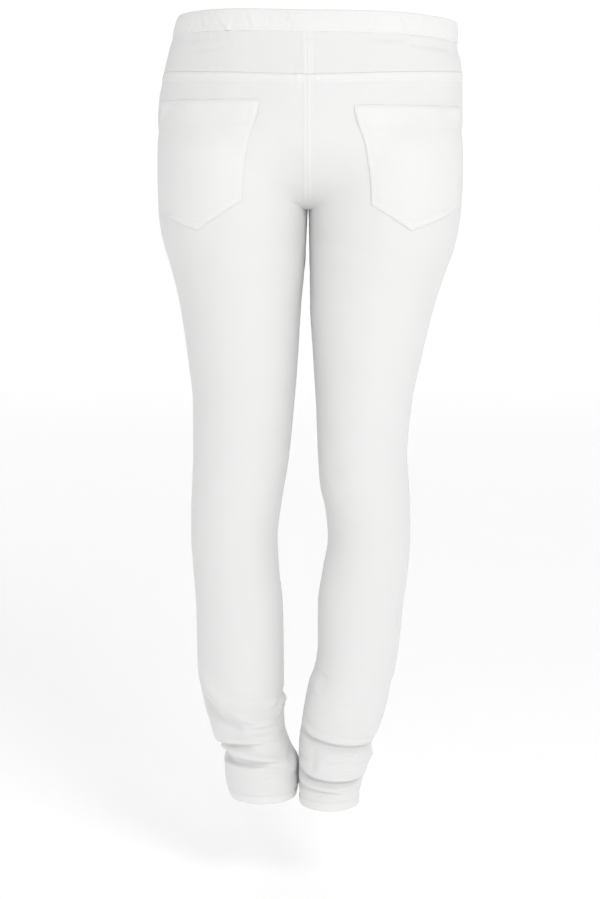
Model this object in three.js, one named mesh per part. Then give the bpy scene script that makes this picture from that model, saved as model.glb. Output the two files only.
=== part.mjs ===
// Slim pull-on jeggings in white stretch twill, standing hollow as they are worn.
// Millimetres. +Z is up, the front faces -Y and the left leg, as worn, is on +X.
// The origin is the middle of the waist, 8 mm below the waistband's upper edge at centre back.
import * as THREE from "three";

// Cloth and sewing.
const CLOTH = 1.2; // a wall of twill with its turnings
const SEAM_GAP = 0.3; // left between two pieces that are sewn together
// The raised bands of the felled seams: at each side of centre back, in the leg and in the yoke, and
// under the yoke seam. At centre back the band fades out just over the crotch.
const FELL = { leg: 4.2, yoke: 5.4, under: 9, rise: 0.7, step: 1.2, fade: 25 };
const HEM = { depth: 9, rise: 0.8, step: 1.5 };
const POCKET = { gap: 0.35, cloth: 1.3, hem: 28, hemRise: 0.6 };

// The elastic casing: how far its face stands out of the yoke's, and how thick it is.
const BAND_ROWS = [
  { z: 8, rise: 0.6, wall: 2.4 },
  { z: 5.5, rise: 1.3, wall: 3 },
  { z: -4.5, rise: 1.6, wall: 3.2 },
  { z: -14, rise: 1.2, wall: 3 },
  { z: -17, rise: 0.4, wall: 2 },
];

// Heights of the lines that run round the garment, measured at centre back.
const BAND_SEAM = -17;
const YOKE_SEAM = -64;
const CROTCH = { y: 7, z: -216 };
const HEM_Z = { left: -905, right: -909 };

// How far the waist drops below its centre back, at each side seam and at centre front.
const WAIST_DROP = { left: 2, right: 9, front: 18 };
const YOKE_LIFT = { rise: 6.5, reach: 40 }; // the yoke seam rises towards the side seams
const SIDE_SEAM = 101; // degrees round a leg from its back, just ahead of the widest point

// The hip section: half widths to the left and right, and reach to the front and back.
const HIPS = [
  { z: 14, left: 149, right: 171, front: 99, back: 103 },
  { z: -13, left: 155, right: 171.5, front: 101, back: 107 },
  { z: -31, left: 160.5, right: 172.5, front: 102, back: 111 },
  { z: -45, left: 164, right: 176.5, front: 103, back: 114 },
  { z: -69, left: 169, right: 178.5, front: 104, back: 119 },
  { z: -92, left: 173, right: 178.7, front: 105, back: 121 },
  { z: -125, left: 174.5, right: 179.5, front: 105, back: 122 },
  { z: -170, left: 174.6, right: 179.5, front: 102, back: 118 },
  { z: -216, left: 174, right: 178, front: 96, back: 110 },
];
const SEAT_FLOOR = { top: -104, roundness: 2.3 }; // the seat closes from here down to the crotch
const SEAT_MIDDLE = { near: 45, far: 135 }; // how far out from the middle plane the joins are rounded
const SEAT_BLEND = [
  { z: -100, reach: 26 },
  { z: -180, reach: 24 },
  { z: -205, reach: 14 },
  { z: -216, reach: 1 },
];

// Each leg's section: its inner and outer edge from the middle plane, and its front and back edge.
const LEGS = {
  left: [
    { z: 14, inner: 30, outer: 138, front: -80, back: 84 },
    { z: -60, inner: 14, outer: 158, front: -90, back: 94 },
    { z: -100, inner: 6, outer: 170, front: -95, back: 100 },
    { z: -150, inner: 3, outer: 174.6, front: -97, back: 114 },
    { z: -180, inner: 1.5, outer: 174.6, front: -95, back: 113 },
    { z: -216, inner: 0.5, outer: 174, front: -92, back: 105 },
    { z: -234, inner: 1.3, outer: 172.5, front: -90, back: 100 },
    { z: -257, inner: 2.4, outer: 167.6, front: -88, back: 95 },
    { z: -281, inner: 4, outer: 160.5, front: -86, back: 89 },
    { z: -328, inner: 8.3, outer: 149.9, front: -82, back: 78 },
    { z: -387, inner: 11.8, outer: 141.6, front: -78, back: 70 },
    { z: -446, inner: 16.5, outer: 135.7, front: -73, back: 64 },
    { z: -505, inner: 22.4, outer: 135.7, front: -67, back: 59 },
    { z: -564, inner: 31.9, outer: 138.1, front: -59, back: 57 },
    { z: -599, inner: 36, outer: 138.1, front: -55, back: 58 },
    { z: -635, inner: 34.2, outer: 135.7, front: -51, back: 62 },
    { z: -680, inner: 29.5, outer: 132.2, front: -46, back: 67 },
    { z: -761, inner: 28.3, outer: 129.8, front: -36, back: 68 },
    { z: -795, inner: 28.3, outer: 122.7, front: -31, back: 67 },
    { z: -819, inner: 27.5, outer: 115.6, front: -28, back: 67 },
    { z: -841, inner: 21.2, outer: 107.4, front: -25, back: 68 },
    { z: -864, inner: 10.4, outer: 99.1, front: -22, back: 69 },
    { z: -887, inner: 10.4, outer: 96.8, front: -20, back: 69 },
    { z: -910, inner: 16, outer: 90, front: -18, back: 68 },
  ],
  right: [
    { z: 14, inner: 30, outer: 160, front: -80, back: 84 },
    { z: -60, inner: 14, outer: 168, front: -90, back: 94 },
    { z: -100, inner: 6, outer: 174, front: -95, back: 100 },
    { z: -150, inner: 3, outer: 179.5, front: -97, back: 114 },
    { z: -180, inner: 1.5, outer: 179.5, front: -95, back: 113 },
    { z: -216, inner: 0.5, outer: 178, front: -91, back: 106 },
    { z: -234, inner: 1, outer: 175.8, front: -89, back: 101 },
    { z: -257, inner: 1.2, outer: 171.1, front: -87, back: 96 },
    { z: -281, inner: 2, outer: 162.8, front: -84, back: 91 },
    { z: -328, inner: 2.4, outer: 147.5, front: -79, back: 81 },
    { z: -387, inner: 5.9, outer: 133.3, front: -74, back: 74 },
    { z: -446, inner: 9.4, outer: 121.5, front: -68, back: 69 },
    { z: -505, inner: 11.8, outer: 116.8, front: -61, back: 65 },
    { z: -540, inner: 14.5, outer: 119.2, front: -56, back: 65 },
    { z: -564, inner: 20.1, outer: 120.4, front: -52, back: 65 },
    { z: -599, inner: 23.6, outer: 120.4, front: -47, back: 67 },
    { z: -635, inner: 17.7, outer: 118, front: -42, back: 71 },
    { z: -677, inner: 11.8, outer: 112.1, front: -36, back: 77 },
    { z: -723, inner: 11.8, outer: 107.4, front: -29, back: 80 },
    { z: -758, inner: 6.5, outer: 101.5, front: -24, back: 80 },
    { z: -770, inner: 1, outer: 97.5, front: -22, back: 80 },
    { z: -792, inner: -3.5, outer: 93.2, front: -18, back: 80 },
    { z: -815, inner: -7.1, outer: 86.1, front: -14, back: 81 },
    { z: -837, inner: -10, outer: 76, front: -11, back: 82 },
    { z: -860, inner: -10.6, outer: 72, front: -8, back: 83 },
    { z: -882, inner: -10.6, outer: 64.5, front: -6, back: 83 },
    { z: -906, inner: -9, outer: 60, front: -4, back: 83 },
  ],
};
const SIDE_SIGN = { left: 1, right: -1 };

// Folds where the spare length stacks at the ankles. Each runs round the leg between two angles, in
// degrees from the back of the leg towards its outer side, through three heights. A rise below nought
// is a trough, and reach is its half width up and down the leg.
const FOLDS = {
  left: [
    { from: -75, to: 86, start: -808, middle: -801, end: -724, rise: 3.8, reach: 9 },
    { from: -15, to: 100, start: -824, middle: -806, end: -752, rise: -4.2, reach: 10 },
    { from: -55, to: 40, start: -786, middle: -786, end: -776, rise: -2, reach: 8 },
    { from: -115, to: -55, start: -793, middle: -791, end: -796, rise: 3.4, reach: 5 },
    { from: -110, to: -50, start: -783, middle: -781, end: -786, rise: -2.4, reach: 4 },
    { from: -55, to: 5, start: -814, middle: -818, end: -820, rise: -2.2, reach: 4 },
    { from: -85, to: 95, start: -828, middle: -829, end: -827, rise: 3.2, reach: 6 },
    { from: -12, to: 125, start: -838, middle: -838, end: -845, rise: -4.4, reach: 4.5 },
    { from: -48, to: 32, start: -858, middle: -850, end: -841, rise: 2.6, reach: 4.5 },
    { from: -50, to: 105, start: -862, middle: -855, end: -858, rise: -4, reach: 4.5 },
    { from: -95, to: -45, start: -841, middle: -848, end: -857, rise: -2, reach: 4.5 },
    { from: -60, to: -15, start: -871, middle: -866, end: -863, rise: -1.6, reach: 4 },
    { from: -30, to: 60, start: -876, middle: -879, end: -876, rise: -1.4, reach: 6 },
    { from: 110, to: 250, start: -792, middle: -814, end: -798, rise: -2.6, reach: 9 },
    { from: 120, to: 265, start: -834, middle: -848, end: -838, rise: 3, reach: 8 },
    { from: 105, to: 240, start: -858, middle: -868, end: -853, rise: -3.2, reach: 6 },
  ],
  right: [
    { from: -100, to: -40, start: -762, middle: -762, end: -771, rise: 2.6, reach: 9 },
    { from: -100, to: 105, start: -813, middle: -833, end: -836, rise: -4.6, reach: 5 },
    { from: -70, to: 100, start: -802, middle: -820, end: -823, rise: 2.6, reach: 6 },
    { from: -50, to: 115, start: -846, middle: -850, end: -853, rise: 3.2, reach: 8 },
    { from: -22, to: 60, start: -860, middle: -851, end: -840, rise: -1.6, reach: 4 },
    { from: -100, to: 100, start: -858, middle: -876, end: -871, rise: -4.6, reach: 4.5 },
    { from: -85, to: 80, start: -879, middle: -884, end: -880, rise: 2.2, reach: 4 },
    { from: -100, to: 20, start: -881, middle: -883, end: -889, rise: -2.4, reach: 3.5 },
    { from: 105, to: 255, start: -794, middle: -810, end: -792, rise: -2.4, reach: 9 },
    { from: 110, to: 260, start: -832, middle: -848, end: -838, rise: -3, reach: 7 },
    { from: 115, to: 250, start: -852, middle: -870, end: -856, rise: 3, reach: 8 },
  ],
};

const FOLD_ENDS = 3.5; // a fold fades in and out over this part of its run, as one over it

// Rows of each leg panel below the yoke, closer together at the crotch and in the ankle folds.
const ROW_STRETCHES = [
  { to: -180, rows: 4 },
  { to: -204, rows: 3 },
  { to: -216, rows: 4 },
  { to: -224, rows: 2 },
  { to: -257, rows: 3 },
  { to: -305, rows: 3 },
  { to: -500, rows: 7 },
  { to: -620, rows: 5 },
  { to: -742, rows: 5 },
];
const FRONT_HIP_ROWS = [-34, -51, -68];
const ANKLE_ROWS = 26;
const HEM_ROWS = 3;

// The back pockets: their edges as angles round the leg from its back, their tops, and the heights of
// the lower edge, whose point lies a share of the way across.
const POCKET_EDGES = {
  left: [
    { z: -92, inner: -17, outer: 66 },
    { z: -150, inner: -11, outer: 69 },
    { z: -206, inner: -8.5, outer: 72 },
  ],
  right: [
    { z: -98, inner: -18.5, outer: 68 },
    { z: -150, inner: -13.5, outer: 67 },
    { z: -206, inner: -10.5, outer: 66 },
  ],
};
const POCKET_TOP = { left: -92, right: -98 };
const POCKET_FOOT = {
  left: { inner: -204, point: -238, outer: -213, share: 0.41 },
  right: { inner: -209, point: -238, outer: -213, share: 0.38 },
};
const FOOT_MARGIN = 7; // the pocket's rows are level down to here above its inner corner
const POCKET_COLUMNS = 6;
const POCKET_FIRST = 4; // the leg panel's column under the pocket's inner edge
const POCKET_HEM_ROWS = 3;
const POCKET_FOOT_ROWS = 4;

const FELL_COLUMNS = 2;
const YOKE_ROWS = 4;
const YOKE_COLUMNS = 9;
const BAND_COLUMNS = 11;
const FRONT_COLUMNS = 7;
const FRONT_PRINCESS = 205; // degrees round a leg to the column that keeps clear of the crotch
const RAYS = 72; // directions in which each half of a section is measured
const MARCH = 4; // steps outwards in search of the surface
const FAR = 400;
const HALVINGS = 40; // of the last step
const LEAST_REACH = 0.01; // keeps a join's rounding above nought
const PROBE = 3; // each way along a line to find its direction
const DEGREE = Math.PI / 180;

const lerp = (a, b, t) => a + (b - a) * t;
const clamp = (v, low, high) => Math.min(high, Math.max(low, v));
const ease = (t) => clamp(t, 0, 1) ** 2 * (3 - 2 * clamp(t, 0, 1));

// Reads every column of a table at height z, along smooth curves that never overshoot its rows.
function readTable(table, z) {
  const last = table.length - 1;
  const slope = (i, name) => {
    if (i <= 0 || i >= last) return 0;
    const above = (table[i][name] - table[i - 1][name]) / (table[i].z - table[i - 1].z);
    const below = (table[i + 1][name] - table[i][name]) / (table[i + 1].z - table[i].z);
    return above * below <= 0 ? 0 : (2 * above * below) / (above + below);
  };
  if (z >= table[0].z) return table[0];
  if (z <= table[last].z) return table[last];
  const i = table.findIndex((row) => row.z < z) - 1;
  const span = table[i + 1].z - table[i].z;
  const t = (z - table[i].z) / span;
  const found = { z };
  for (const name of Object.keys(table[i])) {
    if (name === "z") continue;
    found[name] =
      table[i][name] * (1 + 2 * t) * (1 - t) ** 2 +
      slope(i, name) * span * t * (1 - t) ** 2 +
      table[i + 1][name] * t * t * (3 - 2 * t) +
      slope(i + 1, name) * span * t * t * (t - 1);
  }
  return found;
}

// The axis and half sizes of one leg's section.
function legSection(side, z) {
  const edge = readTable(LEGS[side], z);
  return {
    x: (SIDE_SIGN[side] * (edge.inner + edge.outer)) / 2,
    y: (edge.front + edge.back) / 2,
    width: (edge.outer - edge.inner) / 2,
    depth: (edge.back - edge.front) / 2,
  };
}

// Roughly the distance from a point out to one leg's section, below nought inside it.
function legField(side, x, y, z) {
  const leg = legSection(side, z);
  const ratio = Math.hypot((x - leg.x) / leg.width, (y - leg.y) / leg.depth);
  return (ratio - 1) * Math.min(leg.width, leg.depth);
}

// The same for the hips, which close at the bottom over the crotch.
function hipField(x, y, z) {
  const hip = readTable(HIPS, z);
  const width = x > 0 ? hip.left : hip.right;
  const sink = clamp((SEAT_FLOOR.top - z) / (SEAT_FLOOR.top - CROTCH.z), 0, 1);
  const share = (1 - sink ** SEAT_FLOOR.roundness) ** (1 / SEAT_FLOOR.roundness);
  const depth = y > CROTCH.y ? hip.back - CROTCH.y : hip.front + CROTCH.y;
  return (Math.hypot(x / width, (y - CROTCH.y) / depth) - share) * hip.front;
}

const blend = (a, b, reach) => {
  const overlap = Math.max(0, reach - Math.abs(a - b));
  return Math.min(a, b) - (overlap * overlap) / (4 * reach);
};

// The whole form. The joins are rounded near the middle plane only.
function field(side, x, y, z) {
  const own = legField(side, x, y, z);
  if (z <= CROTCH.z) return own;
  const near = ease((SEAT_MIDDLE.far - Math.abs(x)) / (SEAT_MIDDLE.far - SEAT_MIDDLE.near));
  const reach = readTable(SEAT_BLEND, z).reach * near + LEAST_REACH;
  const other = legField(side === "left" ? "right" : "left", x, y, z);
  return blend(blend(own, other, reach), hipField(x, y, z), reach);
}

// How far a line round the garment lies above its height at centre back, t of the way to centre front.
function lift(side, t, z) {
  const waist = ease((z - YOKE_SEAM) / (BAND_SEAM - YOKE_SEAM));
  const middle = WAIST_DROP.front / 2;
  const drop = middle * (1 - Math.cos(Math.PI * t)) - (middle - WAIST_DROP[side]) * Math.sin(Math.PI * t);
  const yoke = ease(1 - Math.abs(z - YOKE_SEAM) / YOKE_LIFT.reach);
  return YOKE_LIFT.rise * yoke * Math.sin(Math.PI * t) - waist * drop;
}

// The middle plane is reached at the back or front where the form ends there.
function middleEdge(side, z, direction) {
  let inside = CROTCH.y;
  let outside = CROTCH.y + FAR * direction;
  for (let i = 0; i < HALVINGS; i++) {
    const y = (inside + outside) / 2;
    if (field(side, 0, y, z) < 0) inside = y;
    else outside = y;
  }
  return inside;
}

// Angles round a leg, from its back towards its outer side, of the two edges on the middle plane.
function edgeAngles(side, z) {
  if (z <= CROTCH.z) return { back: -90 * DEGREE, front: 270 * DEGREE };
  const leg = legSection(side, z);
  const angle = (y) => Math.atan2(Math.abs(leg.x), y - leg.y);
  return {
    back: -angle(middleEdge(side, z, 1)),
    front: 2 * Math.PI - angle(middleEdge(side, z, -1)),
  };
}

// The form's surface in one direction round a leg, at one height.
function surfacePoint(side, z, angle) {
  const leg = legSection(side, z);
  const dx = SIDE_SIGN[side] * Math.sin(angle);
  const dy = Math.cos(angle);
  const toMiddle = z > CROTCH.z && Math.sin(angle) < 0 ? Math.abs(leg.x / Math.sin(angle)) : FAR;
  let inside = 0;
  let outside = 0;
  do {
    inside = outside;
    outside = Math.min(outside + MARCH, toMiddle);
  } while (outside < toMiddle && field(side, leg.x + dx * outside, leg.y + dy * outside, z) < 0);
  for (let i = 0; i < HALVINGS; i++) {
    const middle = (inside + outside) / 2;
    if (field(side, leg.x + dx * middle, leg.y + dy * middle, z) < 0) inside = middle;
    else outside = middle;
  }
  const reach = inside + foldRise(side, z, angle / DEGREE);
  return new THREE.Vector3(leg.x + dx * reach, leg.y + dy * reach, z);
}

// The folds' height over the plain form.
function foldRise(side, z, degrees) {
  let rise = 0;
  for (const fold of FOLDS[side]) {
    for (const turn of [-360, 0, 360]) {
      const t = (degrees + turn - fold.from) / (fold.to - fold.from);
      if (t <= 0 || t >= 1) continue;
      const bend = 2 * fold.middle - (fold.start + fold.end) / 2;
      const height = (1 - t) ** 2 * fold.start + 2 * t * (1 - t) * bend + t * t * fold.end;
      const taper = ease(Math.min(t, 1 - t) * FOLD_ENDS);
      rise += fold.rise * taper * Math.exp(-(((z - height) / fold.reach) ** 2));
    }
  }
  return rise;
}

// One line round half of the garment, from centre back or the inseam to centre front or the inseam.
function measureLine(side, z) {
  const flat = edgeAngles(side, z);
  const points = [];
  for (let i = 0; i <= RAYS; i++) {
    const t = i / RAYS;
    const height = z + lift(side, t, z);
    const edge = height === z ? flat : edgeAngles(side, height);
    points.push(surfacePoint(side, height, lerp(edge.back, edge.front, t)));
  }
  const lengths = [0];
  for (let i = 1; i <= RAYS; i++) lengths.push(lengths[i - 1] + points[i].distanceTo(points[i - 1]));
  const line = { side, z, points, lengths, edge: flat, total: lengths[RAYS] };
  line.seam = distanceAt(line, SIDE_SEAM);
  return line;
}

// The distance along a line at an angle round the leg from its back, in degrees.
function distanceAt(line, degrees) {
  const place = ((degrees * DEGREE - line.edge.back) / (line.edge.front - line.edge.back)) * RAYS;
  const i = Math.floor(place);
  return lerp(line.lengths[i], line.lengths[i + 1], place - i);
}

function pointAlong(line, distance) {
  const s = clamp(distance, 0, line.total);
  let i = line.lengths.findIndex((length) => length >= s);
  i = clamp(i, 1, RAYS);
  const t = (s - line.lengths[i - 1]) / (line.lengths[i] - line.lengths[i - 1]);
  const point = line.points[i - 1].clone().lerp(line.points[i], t);
  if (line.z > CROTCH.z - 1) {
    const least = SEAM_GAP / 2;
    point.x = SIDE_SIGN[line.side] * Math.max(least, Math.abs(point.x));
  }
  return point;
}

// The direction along a line at a distance, read past its ends too: below the crotch the line is
// closed, and above it the other half of the garment goes on from the middle plane.
function directionAlong(line, distance) {
  const read = (s) => {
    if (s >= 0 && s <= line.total) return pointAlong(line, s);
    if (line.z <= CROTCH.z) return pointAlong(line, s < 0 ? s + line.total : s - line.total);
    const mirrored = pointAlong(line, s < 0 ? -s : 2 * line.total - s);
    mirrored.x *= -1;
    return mirrored;
  };
  return read(distance + PROBE).sub(read(distance - PROBE));
}

// Outward normals of a grid of points, from the line that each lies on and the rows above and below.
function gridNormals(grid, side) {
  const last = grid.length - 1;
  return grid.map((row, i) =>
    row.map(({ across }, j) => {
      const down = grid[Math.min(i + 1, last)][j].point.clone().sub(grid[Math.max(i - 1, 0)][j].point);
      return across.clone().cross(down).normalize().multiplyScalar(SIDE_SIGN[side]);
    }),
  );
}

// A closed wall from a grid of points: its outer and inner face stand off the grid by what outer and
// inner return for a row and column, and a rim joins them.
function wallGeometry(side, grid, outer, inner) {
  const rows = grid.length;
  const columns = grid[0].length;
  const outward = SIDE_SIGN[side];
  const normals = gridNormals(grid, side);
  const position = [];
  const index = [];
  for (const offset of [outer, inner])
    grid.forEach((row, i) =>
      row.forEach(({ point }, j) => {
        const moved = point.clone().addScaledVector(normals[i][j], offset(i, j));
        if (Math.abs(point.x) <= SEAM_GAP && point.z > CROTCH.z - 1) moved.x = point.x;
        position.push(moved.x, moved.y, moved.z);
      }),
    );
  const half = rows * columns;
  const quad = (a, b, c, d) => {
    if (outward < 0) index.push(a, c, b, a, d, c);
    else index.push(a, b, c, a, c, d);
  };
  for (let i = 0; i < rows - 1; i++)
    for (let j = 0; j < columns - 1; j++) {
      const a = i * columns + j;
      quad(a, a + 1, a + columns + 1, a + columns);
      quad(half + a, half + a + columns, half + a + columns + 1, half + a + 1);
    }
  for (let i = 0; i < rows - 1; i++)
    for (const j of [0, columns - 1]) {
      const a = i * columns + j;
      const b = a + columns;
      if (j) quad(a, half + a, half + b, b);
      else quad(a, b, half + b, half + a);
    }
  for (let j = 0; j < columns - 1; j++)
    for (const i of [0, rows - 1]) {
      const a = i * columns + j;
      if (i) quad(a, a + 1, half + a + 1, half + a);
      else quad(a, half + a, half + a + 1, a + 1);
    }
  const geometry = new THREE.BufferGeometry();
  geometry.setAttribute("position", new THREE.Float32BufferAttribute(position, 3));
  geometry.setIndex(index);
  geometry.computeVertexNormals();
  return geometry;
}

const WHITE = 0xf1f1ef;
const twill = () => new THREE.MeshStandardMaterial({ color: WHITE, roughness: 0.85, metalness: 0 });

const garment = new THREE.Group();
garment.name = "jeggings";

function addPiece(name, geometry) {
  const mesh = new THREE.Mesh(geometry, twill());
  mesh.name = name;
  garment.add(mesh);
}

// Heights of a leg panel's rows, from its top edge to the hem.
function legRows(side, isBack) {
  const heights = isBack
    ? [YOKE_SEAM - SEAM_GAP, YOKE_SEAM - FELL.under, YOKE_SEAM - FELL.under - FELL.step]
    : [BAND_SEAM - SEAM_GAP, ...FRONT_HIP_ROWS];
  const pocketRows = [
    { to: POCKET_TOP[side], rows: 1 },
    { to: POCKET_TOP[side] - POCKET.hem, rows: 2 },
  ];
  for (const { to, rows } of [...pocketRows, ...ROW_STRETCHES]) {
    const from = heights[heights.length - 1];
    for (let i = 1; i <= rows; i++) heights.push(lerp(from, to, i / rows));
  }
  const from = heights[heights.length - 1];
  const hemTop = HEM_Z[side] + HEM.depth;
  for (let i = 1; i <= ANKLE_ROWS; i++) heights.push(lerp(from, hemTop + HEM.step, i / ANKLE_ROWS));
  heights.push(hemTop, hemTop - HEM.depth / 2, HEM_Z[side]);
  return heights;
}

// Columns of a panel, as distances along its line. The first three bound the felled seam at centre back.
function legColumns(line) {
  const edge = readTable(POCKET_EDGES[line.side], line.z);
  const inner = distanceAt(line, edge.inner);
  const outer = distanceAt(line, edge.outer);
  const seam = line.seam - SEAM_GAP / 2;
  const columns = [SEAM_GAP / 2, FELL.leg, FELL.leg + FELL.step, lerp(FELL.leg, inner, 0.5)];
  for (let i = 0; i <= POCKET_COLUMNS; i++) columns.push(lerp(inner, outer, i / POCKET_COLUMNS));
  return [...columns, lerp(outer, seam, 0.5), seam];
}

function frontColumns(line) {
  const seam = line.seam + SEAM_GAP / 2;
  const princess = distanceAt(line, FRONT_PRINCESS);
  const columns = [];
  for (let i = 0; i < FRONT_COLUMNS; i++) columns.push(lerp(seam, princess, i / FRONT_COLUMNS));
  for (let i = 0; i <= 2; i++) columns.push(lerp(princess, line.total - SEAM_GAP / 2, i / 2));
  return columns;
}

function yokeColumns(line) {
  const columns = [SEAM_GAP / 2, FELL.yoke, FELL.yoke + FELL.step];
  const from = columns[2];
  for (let i = 1; i <= YOKE_COLUMNS; i++)
    columns.push(lerp(from, line.seam - SEAM_GAP / 2, i / YOKE_COLUMNS));
  return columns;
}

function panelGrid(side, heights, columnsOf) {
  return heights.map((z) => {
    const line = measureLine(side, z);
    return columnsOf(line).map((distance) => ({
      point: pointAlong(line, distance),
      across: directionAlong(line, distance),
    }));
  });
}

function addBackLeg(side) {
  const heights = legRows(side, true);
  const grid = panelGrid(side, heights, legColumns);
  const rise = (i, j) => {
    const yoke = i < FELL_COLUMNS ? FELL.rise : 0;
    const middle = j < FELL_COLUMNS ? FELL.rise * ease((heights[i] - CROTCH.z) / FELL.fade) : 0;
    const hem = i >= heights.length - HEM_ROWS ? HEM.rise : 0;
    return Math.max(yoke, middle, hem);
  };
  addPiece("back_leg_" + side, wallGeometry(side, grid, rise, () => -CLOTH));
  addPocket(side, heights, grid);
}

function addFrontLeg(side) {
  const heights = legRows(side, false);
  const rise = (i) => (i >= heights.length - HEM_ROWS ? HEM.rise : 0);
  const grid = panelGrid(side, heights, frontColumns);
  addPiece("front_leg_" + side, wallGeometry(side, grid, rise, () => -CLOTH));
}

function addYoke(side) {
  const heights = [];
  for (let i = 0; i <= YOKE_ROWS; i++)
    heights.push(lerp(BAND_SEAM - SEAM_GAP, YOKE_SEAM, i / YOKE_ROWS));
  const rise = (i, j) => (j < FELL_COLUMNS ? FELL.rise : 0);
  const grid = panelGrid(side, heights, yokeColumns);
  addPiece("yoke_" + side, wallGeometry(side, grid, rise, () => -CLOTH));
}

// A patch pocket that lies on the back leg: it follows the leg's own columns.
function addPocket(side, legHeights, legGrid) {
  const pointAt = (column, z) => {
    const below = legGrid.findIndex((row) => row[column].point.z < z);
    const [a, b] = [legGrid[below - 1][column], legGrid[below][column]];
    const t = (a.point.z - z) / (a.point.z - b.point.z);
    return { point: a.point.clone().lerp(b.point, t), across: a.across.clone().lerp(b.across, t) };
  };
  const { inner, point, outer, share } = POCKET_FOOT[side];
  const foot = (u) =>
    u < share ? lerp(inner, point, u / share) : lerp(point, outer, (u - share) / (1 - share));
  const hemFoot = POCKET_TOP[side] - POCKET.hem;
  const whole = legHeights.filter((z) => z <= POCKET_TOP[side] && z > inner + FOOT_MARGIN);
  whole.splice(whole.indexOf(hemFoot) + 1, 0, hemFoot - FELL.step);
  const lowest = whole[whole.length - 1];
  const across = Array.from({ length: POCKET_COLUMNS + 1 }, (_, j) => j);
  const grid = whole.map((z) => across.map((j) => pointAt(POCKET_FIRST + j, z)));
  for (let i = 1; i <= POCKET_FOOT_ROWS; i++)
    grid.push(
      across.map((j) =>
        pointAt(POCKET_FIRST + j, lerp(lowest, foot(j / POCKET_COLUMNS), i / POCKET_FOOT_ROWS)),
      ),
    );
  const cloth = (i) => POCKET.gap + POCKET.cloth + (i < POCKET_HEM_ROWS ? POCKET.hemRise : 0);
  addPiece("pocket_" + side, wallGeometry(side, grid, cloth, () => POCKET.gap));
}

// Half of the waist casing runs from each side seam to the middle; two halves make one piece.
function addWaistband(name, columnsOf) {
  const rows = BAND_ROWS.map(({ z }) => z);
  const left = panelGrid("left", rows, columnsOf);
  const right = panelGrid("right", rows, columnsOf).map((row) =>
    row.map(({ point, across }) => ({ point, across: across.negate() })).reverse(),
  );
  const grid =
    name === "waistband_back"
      ? right.map((row, i) => [...row.slice(0, -1), ...left[i]])
      : left.map((row, i) => [...row, ...right[i].slice(1)]);
  const outer = (i) => BAND_ROWS[i].rise;
  addPiece(name, wallGeometry("left", grid, outer, (i) => BAND_ROWS[i].rise - BAND_ROWS[i].wall));
}

for (const side of ["left", "right"]) {
  addYoke(side);
  addBackLeg(side);
  addFrontLeg(side);
}
addWaistband("waistband_back", (line) =>
  Array.from({ length: BAND_COLUMNS + 1 }, (_, i) => lerp(0, line.seam - SEAM_GAP / 2, i / BAND_COLUMNS)),
);
addWaistband("waistband_front", (line) =>
  Array.from({ length: BAND_COLUMNS + 1 }, (_, i) =>
    lerp(line.seam + SEAM_GAP / 2, line.total, i / BAND_COLUMNS),
  ),
);

export default garment;
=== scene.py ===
"""Slim pull-on jeggings in white stretch twill: cloth, seams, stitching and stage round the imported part.

Lengths are millimetres until a mesh is made. +Z is up, the front faces -Y, and the left leg, as worn,
is on +X. Every panel is a thin sheet laid on the same form that the part's solids follow.
"""

import math
import random

import bmesh
import bpy
import numpy as np
from bpy.props import FloatProperty, FloatVectorProperty, PointerProperty
from mathutils import Matrix, Vector
from mathutils.bvhtree import BVHTree


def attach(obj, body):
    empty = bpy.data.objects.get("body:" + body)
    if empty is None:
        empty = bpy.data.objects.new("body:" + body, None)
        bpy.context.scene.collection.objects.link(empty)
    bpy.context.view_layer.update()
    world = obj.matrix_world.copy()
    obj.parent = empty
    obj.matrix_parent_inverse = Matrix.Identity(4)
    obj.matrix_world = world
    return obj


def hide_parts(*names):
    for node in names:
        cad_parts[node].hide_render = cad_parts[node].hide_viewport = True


bl_info = {
    "name": "Jeggings",
    "version": (1, 0, 0),
    "blender": (4, 5, 0),
    "location": "View3D > Sidebar > Jeggings",
    "description": "White stretch twill jeggings, panel by panel, with their seams and topstitching",
    "category": "Object",
}

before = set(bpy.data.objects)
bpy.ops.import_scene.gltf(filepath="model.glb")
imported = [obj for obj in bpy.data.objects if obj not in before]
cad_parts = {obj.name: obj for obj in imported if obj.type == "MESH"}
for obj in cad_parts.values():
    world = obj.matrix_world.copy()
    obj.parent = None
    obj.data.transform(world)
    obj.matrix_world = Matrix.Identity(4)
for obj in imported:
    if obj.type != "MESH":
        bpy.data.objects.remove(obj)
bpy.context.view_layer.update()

MM = 0.001
SIDES = ("left", "right")
SIDE_SIGN = {"left": 1, "right": -1}
OTHER_SIDE = {"left": "right", "right": "left"}


class Table:
    """Columns of sizes by height, read along smooth curves that never overshoot their rows."""

    def __init__(self, names, rows):
        data = np.array(rows, dtype=float)[::-1]
        self.z = data[:, 0]
        self.columns = {}
        for k, name in enumerate(names.split()):
            values = data[:, k + 1]
            step = np.diff(values) / np.diff(self.z)
            slope = np.zeros(len(values))
            above, below = step[:-1], step[1:]
            smooth = above * below > 0
            slope[1:-1][smooth] = 2 * above[smooth] * below[smooth] / (above[smooth] + below[smooth])
            self.columns[name] = (values, slope)

    def read(self, name, z):
        z = np.clip(z, self.z[0], self.z[-1])
        i = np.clip(np.searchsorted(self.z, z, side="right") - 1, 0, len(self.z) - 2)
        span = self.z[i + 1] - self.z[i]
        t = (z - self.z[i]) / span
        values, slope = self.columns[name]
        return (
            values[i] * (1 + 2 * t) * (1 - t) ** 2
            + slope[i] * span * t * (1 - t) ** 2
            + values[i + 1] * t * t * (3 - 2 * t)
            + slope[i + 1] * span * t * t * (t - 1)
        )


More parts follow.
